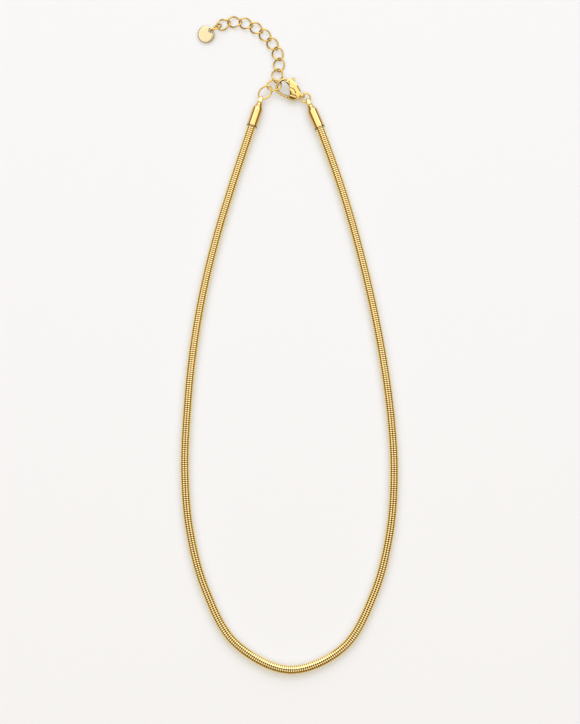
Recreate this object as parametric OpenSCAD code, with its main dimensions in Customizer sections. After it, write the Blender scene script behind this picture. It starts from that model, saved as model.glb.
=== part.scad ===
// Snake chain necklace, closed by a lobster clasp hooked into the first link of its extender.
// It lies on a table as a closed loop. Millimetres: the table is z = 0, +Y points to the clasp
// and +X to the right of the picture. Every piece is placed from the one before it, in the order
// left cap, cap ring, extender, clasp, clasp ring, right cap, and the chain closes the loop.

/* [Chain] */
// Diameter of the snake chain
chain_d = 2.8; // [2.6:0.05:2.9]
// Length of chain that sits inside each end cap
chain_seat = 5.2; // [4:0.1:5.3]

/* [Lay on the table] */
// Length of the loop from the mouth of the left cap to its lowest point
loop_len = 169; // [150:0.25:185]
// Width of the loop between the middle lines of its two sides
loop_width = 64.05; // [56:0.05:74]

/* [End caps] */
// Length of a cap from its mouth to the middle of its eye
cap_len = 9.5; // [9.1:0.1:10.5]
// Length of the straight barrel of a cap
cap_barrel = 6.35; // [5.9:0.05:6.8]
// Wall of the barrel around its bore
cap_wall = 0.225; // [0.2:0.005:0.3]
// Clearance between the chain and the bore of a cap
cap_clear = 0.1; // [0.1:0.005:0.15]
// Depth of the bore of a cap
bore_depth = 5.4; // [5.3:0.05:5.7]

/* [Eyes] */
// Diameter of the hole in the eye of each cap and of the clasp
eye_hole = 1.2; // [1.15:0.01:1.3]
// Wall of metal around the hole of an eye
eye_wall = 0.45; // [0.35:0.01:0.48]
// Width of an eye along its hole
eye_width = 0.9; // [0.7:0.05:1]

/* [Rings and extender] */
// Wire diameter of the oval links
wire_d = 0.5; // [0.42:0.01:0.52]
// Outer length of an extender link
link_len = 4.95; // [4.8:0.05:5.1]
// Outer width of an extender link
link_width = 3.85; // [3.7:0.05:4]
// Outer length of the ring in the left cap
cap_ring_len = 5.4; // [5.3:0.05:5.5]
// Outer width of the ring in the left cap
cap_ring_width = 3.9; // [3.8:0.05:4]
// Outer length of the hooked link
hooked_len = 5; // [4.9:0.05:5.1]
// Outer width of the hooked link
hooked_width = 4.8; // [4.7:0.05:4.9]
// Outer length of the ring that carries the tag
tag_ring_len = 4.6; // [4.5:0.05:4.7]
// Outer width of the ring that carries the tag
tag_ring_width = 3.6; // [3.5:0.05:3.7]
// Diameter of the end tag
tag_d = 5.2; // [5:0.1:5.8]
// Thickness of the end tag
tag_thick = 1.1; // [0.9:0.05:1.15]
// Diameter of the hole in the end tag
tag_hole = 1.3; // [1.25:0.05:1.4]

/* [Clasp] */
// Length of the clasp from the hook to the middle of its eye
clasp_len = 9.3; // [9:0.1:9.6]
// Thickness of the clasp shell at its crown
clasp_thick = 2.7; // [2.5:0.05:2.9]
// Thickness of the wire of the hook
hook_d = 0.95; // [0.8:0.05:1]
// Thickness of the lever plate
lever_thick = 1.1; // [0.9:0.05:1.2]
// Clearance on each side of the lever plate
lever_clear = 0.1; // [0.08:0.01:0.12]
// Diameter of the hinge pin of the lever
pin_d = 0.75; // [0.6:0.05:0.85]
// Radial clearance of the lever on its pin
pin_clear = 0.04; // [0.02:0.01:0.06]
// Angle by which the lever opens inwards
open_angle = 25; // [10:1:25]
// Wire diameter of the ring between the clasp and the right cap
clasp_ring_wire = 0.55; // [0.5:0.01:0.58]
// Outer diameter of the ring between the clasp and the right cap
clasp_ring_d = 3.4; // [3.3:0.05:3.6]

/* [Hidden] */
$fn = 48;
gold = [0.86, 0.68, 0.33];

// Middle line of the chain between the mouths of the caps, from the left cap round to the right,
// for a loop of plan_len by plan_width
plan_len = 169;
plan_width = 64.05;
route_plan = [[-17.8, 48.2], [-22.9, 30.5], [-27, 12.6], [-29.85, -5.6], [-31.45, -23.9], [-32, -42.3],
    [-30.3, -60.6], [-25.4, -78.3], [-16.4, -94.2], [0, -102.3], [16.4, -95.5], [25.7, -79.4],
    [30.5, -61.6], [32.05, -43.3], [31.2, -25], [28.85, -6.7], [25.5, 11.35], [21.3, 29.3],
    [16.3, 47]];
span = 18.4;           // spacing of the route points
steps = 3;             // rings of the tube from one route point to the next
left_mouth = [-11.9, 66.7];
route = [for (p = route_plan)
    [p[0] * loop_width / plan_width, left_mouth[1] + (p[1] - left_mouth[1]) * loop_len / plan_len]];
left_heading = 72;
left_roll = 2;
right_heading = 112.5;
right_roll = -12;

// Vectors in the plane of the table
function dir(a) = [cos(a), sin(a)];
function turn(a, p) = [p[0] * cos(a) - p[1] * sin(a), p[0] * sin(a) + p[1] * cos(a)];
function unit(p) = p / norm(p);

// End caps, laid along +X from the mouth: the eye stands upright in the middle plane
cap_r = chain_d / 2 + cap_clear + cap_wall;
eye_r = eye_hole / 2 + eye_wall;
taper_len = cap_len - cap_barrel - eye_hole / 2 - 0.22;
// Taper of a cap: [share of the taper's length, share of the barrel's radius]
taper = [[0, 0.97], [0.27, 0.78], [0.55, 0.61], [0.8, 0.48], [1, 0.36]];

// Oval links: half lengths and half widths of the wire's middle line
wire_r = wire_d / 2;
link_a = (link_len - wire_d) / 2;
link_b = (link_width - wire_d) / 2;
cap_ring_a = (cap_ring_len - wire_d) / 2;
cap_ring_b = (cap_ring_width - wire_d) / 2;
hooked_a = (hooked_len - wire_d) / 2;
hooked_b = (hooked_width - wire_d) / 2;
tag_ring_a = (tag_ring_len - wire_d) / 2;
tag_ring_b = (tag_ring_width - wire_d) / 2;
overlap = 0.375;       // how far half of a joint reaches past the wire's middle line
link_twist = -40;
link_z = wire_r + link_b * 0.335;

// Poses are [x, y, z, roll, climb, heading]
left_eye = left_mouth + cap_len * dir(left_heading);
cap_ring_at = left_eye + turn(42, [cap_ring_a - 0.07, 0.67]);
cap_ring_pose = [cap_ring_at[0], cap_ring_at[1], cap_r + 0.25, 14.5, 6.1, 42];
hooked_at = cap_ring_at + cap_ring_a * dir(42) + turn(4, [hooked_a - 1.195, 0.735]);
hooked_pose = [hooked_at[0], hooked_at[1], cap_r + 0.105, -22, 5, 4];

// The extender walks from the hooked link: each link starts where the one before it ends
headings = [75, 87, 106, 127, 133, 147, 161, 181, 204];
pitch = 2 * (link_a - overlap);
first_joint = hooked_at + turn(4, [0.545, hooked_b - 0.58]);
function joint(i) = i == 0 ? first_joint : joint(i - 1) + pitch * dir(headings[i - 1]);
function link_pose(i) = let (c = joint(i) + pitch / 2 * dir(headings[i]))
    i == 0 ? [c[0], c[1], link_z + 0.25, 9, -1, headings[0]] : [c[0], c[1], link_z, 0, 0, headings[i]];

// The tag ring hangs in the last link and the tag in the tag ring
tag_heading = 214;
tag_ring_roll = 57;
tag_ring_climb = 5.6;
tag_ring_lap = 0.98;   // how far the tag ring reaches back past the last joint
tag_ring_at = joint(9) + turn(tag_heading, [tag_ring_a - tag_ring_lap, 0.09]);
tag_ring_pose = [tag_ring_at[0], tag_ring_at[1], 1.53, tag_ring_roll, tag_ring_climb, tag_heading];
tag_rim = 0.33;        // metal between the tag's hole and its rim
tag_edge = tag_d / 2 - tag_hole / 2 - tag_rim;
tag_lap = 0.19;        // how far the hole's middle lies inside the ring's end
tag_at = tag_ring_at + turn(tag_heading, [tag_ring_a - tag_lap + tag_edge, -0.04]);
tag_pose = [tag_at[0], tag_at[1], tag_thick / 2 + 0.48, -7.5, -9.5, tag_heading];

// The clasp hangs its hook in the hooked link. Its own frame has +X towards its eye.
k = clasp_len / 100;   // the clasp's plans below are in hundredths of its length
clasp_heading = -19.5;
clasp_climb = -3.1;
clasp_roll = 12.7;
clasp_at = hooked_at + hooked_a * dir(4) + turn(4, [-1.67, -0.745]);
clasp_pose = [clasp_at[0], clasp_at[1], cap_r + 0.315, clasp_roll, clasp_climb, clasp_heading];
clasp_eye = k * [92.6, 2.2];
pivot = k * [65.8, 11.2];
lever_reach = 47.5 * k;
hub_r = 10.6 * k;
nose_gap = 0.12;
slot_thick = lever_thick + 2 * lever_clear;
crown_r = 80 * k;
// Middle line of the hook's wire, from the shell round to the nose
hook_line = [[60, -19.2], [50, -19], [40, -18.6], [27, -17], [14.5, -14.3], [5.6, -8.9], [1.7, 0],
    [1.1, 9.7], [3.3, 19.6], [9.4, 28.7], [17.6, 34.3], [26, 36.9]];
// Plans: [x, y, radius of the corner]
dome_plan = [[37, 40.5, 3], [40.3, 21, 12], [53, -8, 3], [81, -10, 4], [87.5, 0, 5], [86, 14.5, 7],
    [69, 28.5, 16], [54, 37.8, 16]];
spine_plan = [[49, -12, 3], [60, -3, 4], [88, -2, 4], [88.5, -11, 8], [71, -25.2, 16],
    [56, -25.4, 12], [48, -24.4, 3]];
slot_plan = [[0, -3.4, 0.5], [66, -3.4, 5], [77.5, 1, 8], [79.5, 14, 6], [70.5, 27, 6],
    [62, 46, 4], [48, 75, 4], [0, 75, 4]];
arm_plan = [[12, 44.5, 1], [13.5, 25, 1], [27.5, 24.7, 6], [37.5, 21, 6], [51, 5.2, 8],
    [60, 1.5, 5], [73, 10, 6], [70, 19.5, 6], [58, 34.5, 12], [41, 41.8, 12]];
thumb_plan = [[41, 36, 1], [54.5, 33, 1], [51, 52.5, 3], [44, 53.5, 3]];

// The clasp ring runs through the clasp's eye and the right cap's eye
clasp_ring_r = (clasp_ring_d - clasp_ring_wire) / 2;
clasp_eye_at = clasp_at + turn(clasp_heading, clasp_eye);
clasp_eye_z = clasp_pose[2] + clasp_eye[0] * sin(clasp_climb) + clasp_eye[1] * sin(clasp_roll);
clasp_ring_at = clasp_eye_at + clasp_ring_r * dir(-31);
right_eye = clasp_ring_at + clasp_ring_r * dir(-56);
right_mouth = right_eye - cap_len * dir(right_heading);
clasp_ring_pose = [clasp_ring_at[0], clasp_ring_at[1], (clasp_eye_z + cap_r) / 2 + 0.07, clasp_roll,
    asin((cap_r - clasp_eye_z) / (2 * clasp_ring_r)), -42];

// Sweeps: rings is a list of equal loops of points, closed joins the last ring to the first
function ring_faces(n, m, i, j) = let (a = i * m, b = (i + 1) % n * m, u = (j + 1) % m)
    [[a + j, a + u, b + u], [a + j, b + u, b + j]];
module sweep(rings, closed) {
    n = len(rings);
    m = len(rings[0]);
    sides = [for (i = [0 : n - (closed ? 1 : 2)]) for (j = [0 : m - 1]) each ring_faces(n, m, i, j)];
    ends = closed ? [] : [[for (j = [m - 1 : -1 : 0]) j], [for (j = [0 : m - 1]) (n - 1) * m + j]];
    polyhedron([for (r = rings) for (p = r) p], concat(sides, ends), convexity = 8);
}

// Smooth curve through four points of the route
function between(p, q, r, s, t) = (2 * q + (r - p) * t + (2 * p - 5 * q + 4 * r - s) * t * t
    + (3 * q - p - 3 * r + s) * t * t * t) / 2;
function ease(t) = t * t * (3 - 2 * t);

// Middle line of the tube. Its height falls from the caps to the table over one span.
stops = concat([left_mouth + span * dir(left_heading), left_mouth], route,
    [right_mouth, right_mouth + span * dir(right_heading)]);
last = len(stops) - 4;
function height(i, t) = i == 0 ? cap_r - (cap_r - chain_d / 2) * ease(t)
    : i == last ? chain_d / 2 + (cap_r - chain_d / 2) * ease(t) : chain_d / 2;
function stop3(i, t) = let (p = between(stops[i], stops[i + 1], stops[i + 2], stops[i + 3], t))
    [p[0], p[1], height(i, t)];
chain_line = concat(
    [concat(left_mouth + chain_seat * dir(left_heading), cap_r)],
    [for (i = [0 : last]) for (s = [0 : steps - 1]) stop3(i, s / steps)],
    [stop3(last, 1), concat(right_mouth + chain_seat * dir(right_heading), cap_r)]);
tube_sides = 8;
function tube_ring(i) = let (n = len(chain_line), p = chain_line[max(i - 1, 0)],
    q = chain_line[min(i + 1, n - 1)], f = unit([q[0] - p[0], q[1] - p[1]]), c = chain_line[i])
    [for (j = [0 : tube_sides - 1]) let (a = -90 - j * 360 / tube_sides, r = chain_d / 2)
        c + [-f[1] * r * cos(a), f[0] * r * cos(a), r * sin(a)]];

module snake_chain() {
    color(gold) sweep([for (i = [0 : len(chain_line) - 1]) tube_ring(i)], false);
}

// Places a piece by its pose
module at(pose) {
    translate([pose[0], pose[1], pose[2]]) rotate([pose[3], -pose[4], pose[5]]) children();
}

// Oval wire ring whose two ends are twisted against each other
function oval(a, b, twist, t) = let (u = twist * cos(t))
    [a * cos(t), b * sin(t) * cos(u), b * sin(t) * sin(u)];
function oval_ring(a, b, twist, t) = let (p = oval(a, b, twist, t),
    f = unit(oval(a, b, twist, t + 1) - oval(a, b, twist, t - 1)),
    u = unit(cross(f, [0, -sin(twist * cos(t)), cos(twist * cos(t))])), v = cross(u, f))
    [for (j = [0 : 5]) p + wire_r * (u * cos(j * 60) + v * sin(j * 60))];
module oval_link(a, b, twist) {
    color(gold) sweep([for (i = [0 : 15]) oval_ring(a, b, twist, i * 22.5)], true);
}

// Eye of a cap or of the clasp, standing in the XZ plane around the origin
module eye() {
    h = eye_width / 2;
    rotate([90, 0, 0]) rotate_extrude() polygon([[eye_hole / 2, h - 0.1], [eye_hole / 2, 0.1 - h],
        [eye_hole / 2 + 0.1, -h], [eye_r - 0.15, -h], [eye_r, 0.15 - h], [eye_r, h - 0.15],
        [eye_r - 0.15, h], [eye_hole / 2 + 0.1, h]]);
}

module end_cap() {
    color(gold) difference() {
        union() {
            rotate([0, 90, 0]) rotate_extrude() polygon(concat(
                [[0, 0], [cap_r - 0.1, 0], [cap_r, 0.1]],
                [for (t = taper) [t[1] * cap_r, cap_barrel + t[0] * taper_len]],
                [[0, cap_barrel + taper_len]]));
            translate([cap_len, 0, 0]) eye();
        }
        translate([-1, 0, 0]) rotate([0, 90, 0]) cylinder(r = chain_d / 2 + cap_clear, h = bore_depth + 1);
    }
}
module left_end_cap() { at([left_mouth[0], left_mouth[1], cap_r, left_roll, 0, left_heading]) end_cap(); }
module right_end_cap() {
    at([right_mouth[0], right_mouth[1], cap_r, right_roll, 0, right_heading]) end_cap();
}

module cap_ring() { at(cap_ring_pose) oval_link(cap_ring_a, cap_ring_b, 7); }
module extender_link_1() { at(hooked_pose) oval_link(hooked_a, hooked_b, 0); }
module walked_link(i) { at(link_pose(i)) oval_link(link_a, link_b, link_twist); }
module extender_link_2() { walked_link(0); }
module extender_link_3() { walked_link(1); }
module extender_link_4() { walked_link(2); }
module extender_link_5() { walked_link(3); }
module extender_link_6() { walked_link(4); }
module extender_link_7() { walked_link(5); }
module extender_link_8() { walked_link(6); }
module extender_link_9() { walked_link(7); }
module extender_link_10() { walked_link(8); }
module tag_ring() { at(tag_ring_pose) oval_link(tag_ring_a, tag_ring_b, 22); }

// Bare round tag with bevelled edges, its hole on the side of the tag ring
module tag() {
    r = tag_d / 2;
    h = tag_thick / 2;
    color(gold) at(tag_pose) difference() {
        rotate_extrude() polygon([[0, -h], [r - 0.3, -h], [r, 0.25 - h], [r, h - 0.25], [r - 0.3, h], [0, h]]);
        translate([-tag_edge, 0, 0]) cylinder(d = tag_hole, h = 4, center = true);
    }
}

module clasp_ring() {
    color(gold) at(clasp_ring_pose) rotate_extrude() translate([clasp_ring_r, 0]) circle(d = clasp_ring_wire);
}

// Corner points turned into outlines with round corners
function corner(a, p, b, r, n) = let (u = unit(a - p), v = unit(b - p), w = acos(u * v) / 2,
    c = p + unit(u + v) * r / sin(w), s = p + u * r / tan(w) - c, e = p + v * r / tan(w) - c,
    g = (s[0] * e[1] - s[1] * e[0] > 0 ? 1 : -1) * (180 - 2 * w))
    [for (i = [0 : n]) c + turn(g * i / n, s)];
function rounded(q) = let (n = len(q)) [for (i = [0 : n - 1])
    let (a = q[(i + n - 1) % n], p = q[i], b = q[(i + 1) % n])
    each corner(k * [a[0], a[1]], k * [p[0], p[1]], k * [b[0], b[1]], k * p[2], 4)];
module plate(plan, thick) { linear_extrude(thick, center = true) polygon(rounded(plan)); }

// Round wire of the hook, standing on its own middle line
function hook_ring(i) = let (n = len(hook_line), p = hook_line[max(i - 1, 0)],
    q = hook_line[min(i + 1, n - 1)], f = unit(q - p), c = k * hook_line[i])
    [for (j = [0 : 7]) let (a = 22.5 - j * 45, r = hook_d / 2)
        [c[0] - f[1] * r * cos(a), c[1] + f[0] * r * cos(a), r * sin(a)]];
module hook() {
    difference() {
        sweep([for (i = [0 : len(hook_line) - 1]) hook_ring(i)], false);
        intersection() {
            translate([pivot[0], pivot[1], 0]) cylinder(r = lever_reach + nose_gap, h = 4, center = true);
            translate([0, 15 * k, -2]) cube([60 * k, 60 * k, 4]);
        }
    }
}

module clasp_body() {
    color(gold) at(clasp_pose) {
        hook();
        difference() {
            union() {
                intersection() {
                    plate(dome_plan, clasp_thick);
                    translate([0, 8 * k, clasp_thick / 2 - crown_r]) rotate([0, 90, 0])
                        cylinder(r = crown_r, h = 20, $fn = 96);
                    translate([0, 8 * k, crown_r - clasp_thick / 2]) rotate([0, 90, 0])
                        cylinder(r = crown_r, h = 20, $fn = 96);
                }
                plate(spine_plan, clasp_thick * 0.63);
                translate([clasp_eye[0], clasp_eye[1], 0]) eye();
            }
            plate(slot_plan, slot_thick);
            translate([56 * k, -10.2 * k, clasp_thick * 0.29]) cube([20 * k, 5.4 * k, clasp_thick]);
        }
        translate([pivot[0], pivot[1], 0]) cylinder(d = pin_d, h = slot_thick + 0.6, center = true);
    }
}

module clasp_lever() {
    color(gold) at(clasp_pose) difference() {
        intersection() {
            linear_extrude(lever_thick, center = true) union() {
                polygon(rounded(arm_plan));
                polygon(rounded(thumb_plan));
                translate(pivot) circle(r = hub_r);
            }
            translate([pivot[0], pivot[1], 0]) cylinder(r = lever_reach, h = 4, center = true, $fn = 96);
        }
        translate([pivot[0], pivot[1], 0]) cylinder(d = pin_d + 2 * pin_clear, h = 4, center = true);
    }
}

snake_chain();
left_end_cap();
right_end_cap();
cap_ring();
extender_link_1();
extender_link_2();
extender_link_3();
extender_link_4();
extender_link_5();
extender_link_6();
extender_link_7();
extender_link_8();
extender_link_9();
extender_link_10();
tag_ring();
tag();
clasp_ring();
clasp_body();
clasp_lever();
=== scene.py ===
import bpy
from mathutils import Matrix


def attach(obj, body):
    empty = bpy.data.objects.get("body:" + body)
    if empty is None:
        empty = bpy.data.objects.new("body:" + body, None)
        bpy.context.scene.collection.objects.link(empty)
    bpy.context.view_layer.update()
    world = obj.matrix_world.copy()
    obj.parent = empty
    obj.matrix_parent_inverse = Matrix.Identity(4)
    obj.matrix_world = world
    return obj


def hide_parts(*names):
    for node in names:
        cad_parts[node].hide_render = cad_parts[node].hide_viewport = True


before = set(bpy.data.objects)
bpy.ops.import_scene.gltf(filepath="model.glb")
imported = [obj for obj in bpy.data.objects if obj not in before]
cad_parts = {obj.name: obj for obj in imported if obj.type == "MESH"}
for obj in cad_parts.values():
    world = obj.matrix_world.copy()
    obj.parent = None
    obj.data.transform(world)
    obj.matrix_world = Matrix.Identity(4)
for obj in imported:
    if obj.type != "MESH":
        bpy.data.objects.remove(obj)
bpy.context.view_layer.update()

"""Snake chain necklace on a pale table: the looks of every piece.

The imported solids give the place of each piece. The plan below repeats the named sizes of the
source in millimetres, and every mesh is written in metres in the same frame.
"""

import logging
import math
from dataclasses import dataclass, field
from enum import Enum

import bmesh
import bpy
from bmesh.types import BMesh, BMVert
from bpy.types import ID, Material, Mesh, Node, NodeOutputs, NodeSocket, NodeTree, Object, World
from mathutils import Euler, Matrix, Vector
from mathutils.kdtree import KDTree

log = logging.getLogger("snake_chain_necklace")

Pair = tuple[float, float]
Triple = tuple[float, float, float]
Colour = tuple[float, float, float, float]
MM = 0.001
NECKLACE = "necklace"
LEVER = "clasp_lever"
TURN = "turn"
# Attribute of painted shade: shade painted into the chain's grooves, the caps' mouths and the clasp's
# recesses, and a painted dark reflection along the chain's spine.
PAINTED_SHADE = "groove"


def heading(angle: float) -> Vector:
    """Unit vector on the table at an angle in degrees."""
    return Vector((math.cos(math.radians(angle)), math.sin(math.radians(angle))))


def turned(angle: float, x: float, y: float) -> Vector:
    """Vector (x, y) turned on the table by an angle in degrees."""
    along = heading(angle)
    return Vector((x * along.x - y * along.y, x * along.y + y * along.x))


@dataclass(frozen=True)
class Pose:
    """Place of a piece in millimetres, and its roll, climb and heading in degrees."""

    x: float
    y: float
    z: float
    roll: float = 0.0
    climb: float = 0.0
    heading: float = 0.0

    @property
    def spot(self) -> Vector:
        """Place on the table."""
        return Vector((self.x, self.y))

    def euler(self) -> Euler:
        """Turn of the piece, roll first."""
        return Euler((math.radians(self.roll), math.radians(-self.climb), math.radians(self.heading)))

    def matrix(self) -> Matrix:
        """Placing of a mesh that is drawn in millimetres, into the frame in metres."""
        place = Matrix.Translation(Vector((self.x, self.y, self.z)) * MM)
        return place @ self.euler().to_matrix().to_4x4() @ Matrix.Scale(MM, 4)


def hung(at: Vector, angle: float, x: float, y: float, z: float, roll: float, climb: float) -> Pose:
    """Pose of a piece whose middle lies at (x, y) from a place on the table, along its own heading."""
    return Pose(*(at + turned(angle, x, y)), z, roll, climb, angle)


@dataclass(frozen=True)
class Plan:
    """Sizes in millimetres of the necklace and the way in which each piece follows from the last."""

    chain_seat: float = 5.2
    cap_len: float = 9.5
    cap_barrel: float = 6.35
    cap_r: float = 1.725
    bore_depth: float = 5.4
    bore_r: float = 1.5
    eye_hole: float = 1.2
    eye_wall: float = 0.45
    eye_width: float = 0.9
    wire_d: float = 0.5
    link_a: float = 2.225
    link_b: float = 1.675
    cap_ring_a: float = 2.45
    cap_ring_b: float = 1.7
    hooked_a: float = 2.25
    hooked_b: float = 2.15
    tag_ring_a: float = 2.05
    tag_ring_b: float = 1.55
    tag_d: float = 5.2
    tag_thick: float = 1.1
    tag_hole: float = 1.3
    clasp_len: float = 9.3
    clasp_ring_wire: float = 0.55
    clasp_ring_d: float = 3.4
    overlap: float = 0.375
    span: float = 18.4
    left_mouth: Pair = (-11.9, 66.7)
    left_heading: float = 72.0
    left_roll: float = 2.0
    cap_ring_heading: float = 42.0
    hooked_heading: float = 4.0
    tag_heading: float = 214.0
    clasp_heading: float = -19.5
    right_heading: float = 112.5
    right_roll: float = -12.0
    headings: tuple[float, ...] = (75, 87, 106, 127, 133, 147, 161, 181, 204)
    route: tuple[Pair, ...] = (
        (-17.8, 48.2), (-22.9, 30.5), (-27, 12.6), (-29.85, -5.6), (-31.45, -23.9), (-32, -42.3),
        (-30.3, -60.6), (-25.4, -78.3), (-16.4, -94.2), (0, -102.3), (16.4, -95.5), (25.7, -79.4),
        (30.5, -61.6), (32.05, -43.3), (31.2, -25), (28.85, -6.7), (25.5, 11.35), (21.3, 29.3),
        (16.3, 47))

    def left_cap(self) -> Pose:
        """Pose of the left end cap, at its mouth."""
        return Pose(*self.left_mouth, self.cap_r, self.left_roll, 0, self.left_heading)

    def cap_ring(self) -> Pose:
        """Pose of the ring in the eye of the left end cap."""
        eye = Vector(self.left_mouth) + self.cap_len * heading(self.left_heading)
        return hung(eye, self.cap_ring_heading, self.cap_ring_a - 0.07, 0.67, self.cap_r + 0.25, 14.5, 6.1)

    def hooked_link(self) -> Pose:
        """Pose of the first link of the extender, which carries the hook of the clasp."""
        end = self.cap_ring().spot + self.cap_ring_a * heading(self.cap_ring_heading)
        return hung(end, self.hooked_heading, self.hooked_a - 1.195, 0.735, self.cap_r + 0.105, -22, 5)

    def joint(self, number: int) -> Vector:
        """Place on the table where a link of the extender hangs in the one before it.

        Args:
            number: Number of the link, from 0.

        Returns:
            The place in millimetres.
        """
        at = self.hooked_link().spot + turned(self.hooked_heading, 0.545, self.hooked_b - 0.58)
        for angle in self.headings[:number]:
            at = at + 2 * (self.link_a - self.overlap) * heading(angle)
        return at

    def extender_link(self, number: int) -> Pose:
        """Pose of a link of the extender after the hooked one.

        Args:
            number: Number of the link, from 0.

        Returns:
            The pose of its middle.
        """
        at = self.joint(number) + (self.link_a - self.overlap) * heading(self.headings[number])
        height = self.wire_d / 2 + self.link_b * 0.335
        if number == 0:
            return Pose(*at, height + 0.25, 9, -1, self.headings[0])
        return Pose(*at, height, 0, 0, self.headings[number])

    def tag_ring(self) -> Pose:
        """Pose of the ring that carries the tag."""
        end = self.joint(len(self.headings))
        return hung(end, self.tag_heading, self.tag_ring_a - 0.98, 0.09, 1.53, 57, 5.6)

    def tag_edge(self) -> float:
        """Distance from the middle of the tag to the middle of its hole."""
        return self.tag_d / 2 - self.tag_hole / 2 - 0.33

    def tag(self) -> Pose:
        """Pose of the end tag."""
        reach, height = self.tag_ring_a - 0.19 + self.tag_edge(), self.tag_thick / 2 + 0.48
        return hung(self.tag_ring().spot, self.tag_heading, reach, -0.04, height, -7.5, -9.5)

    def clasp(self) -> Pose:
        """Pose of the clasp, whose own frame has +X towards its eye."""
        at = (self.hooked_link().spot + self.hooked_a * heading(self.hooked_heading)
              + turned(self.hooked_heading, -1.67, -0.745))
        return Pose(*at, self.cap_r + 0.315, 12.7, -3.1, self.clasp_heading)

    def clasp_ring_r(self) -> float:
        """Radius of the middle line of the clasp ring's wire."""
        return (self.clasp_ring_d - self.clasp_ring_wire) / 2

    def clasp_ring(self) -> Pose:
        """Pose of the round ring between the clasp and the right cap.

        Returns:
            The pose of its middle.
        """
        clasp, radius = self.clasp(), self.clasp_ring_r()
        eye_x, eye_y = 0.926 * self.clasp_len, 0.022 * self.clasp_len
        eye = clasp.spot + turned(self.clasp_heading, eye_x, eye_y)
        climbed = eye_x * math.sin(math.radians(clasp.climb))
        rolled = eye_y * math.sin(math.radians(clasp.roll))
        eye_z = clasp.z + climbed + rolled
        at = eye + radius * heading(-31)
        climb = math.degrees(math.asin((self.cap_r - eye_z) / (2 * radius)))
        return Pose(*at, (eye_z + self.cap_r) / 2 + 0.07, clasp.roll, climb, -42)

    def right_cap(self) -> Pose:
        """Pose of the right end cap, at its mouth."""
        mouth = (self.clasp_ring().spot + self.clasp_ring_r() * heading(-56)
                 - self.cap_len * heading(self.right_heading))
        return Pose(*mouth, self.cap_r, self.right_roll, 0, self.right_heading)

    def chain_line(self, low: float, steps: int = 24) -> list[Vector]:
        """Middle line of the chain, from its end in the left cap to its end in the right cap.

        Args:
            low: Height of the line where the chain lies on the table.
            steps: Points from one point of the route to the next.

        Returns:
            Points in millimetres.
        """
        left = Vector(self.left_mouth)
        right = self.right_cap().spot
        into_left, into_right = heading(self.left_heading), heading(self.right_heading)
        stops = [left + self.span * into_left, left, *map(Vector, self.route), right,
                 right + self.span * into_right]
        last = len(stops) - 4
        line = [(left + self.chain_seat * into_left).to_3d() + Vector((0, 0, self.cap_r))]
        for i in range(last + 1):
            for s in range(steps + (1 if i == last else 0)):
                t = s / steps
                rise = 1 - smooth(t) if i == 0 else smooth(t) if i == last else 0.0
                at = through(*stops[i:i + 4], t)
                line.append(Vector((at.x, at.y, low + (self.cap_r - low) * rise)))
        line.append((right + self.chain_seat * into_right).to_3d() + Vector((0, 0, self.cap_r)))
        return line


def smooth(t: float) -> float:
    """Eased share, flat at 0 and at 1."""
    return t * t * (3 - 2 * t)


def through(p: Vector, q: Vector, r: Vector, s: Vector, t: float) -> Vector:
    """Point on the smooth curve that runs through q and r, with p before and s after them.

    Args:
        p: Point before the stretch.
        q: Start of the stretch.
        r: End of the stretch.
        s: Point after the stretch.
        t: Share of the stretch, from 0 to 1.

    Returns:
        The point on the curve.
    """
    square = (2 * p - 5 * q + 4 * r - s) * t * t
    cube = (3 * q - p - 3 * r + s) * t ** 3
    return (2 * q + (r - p) * t + square + cube) / 2


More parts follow.
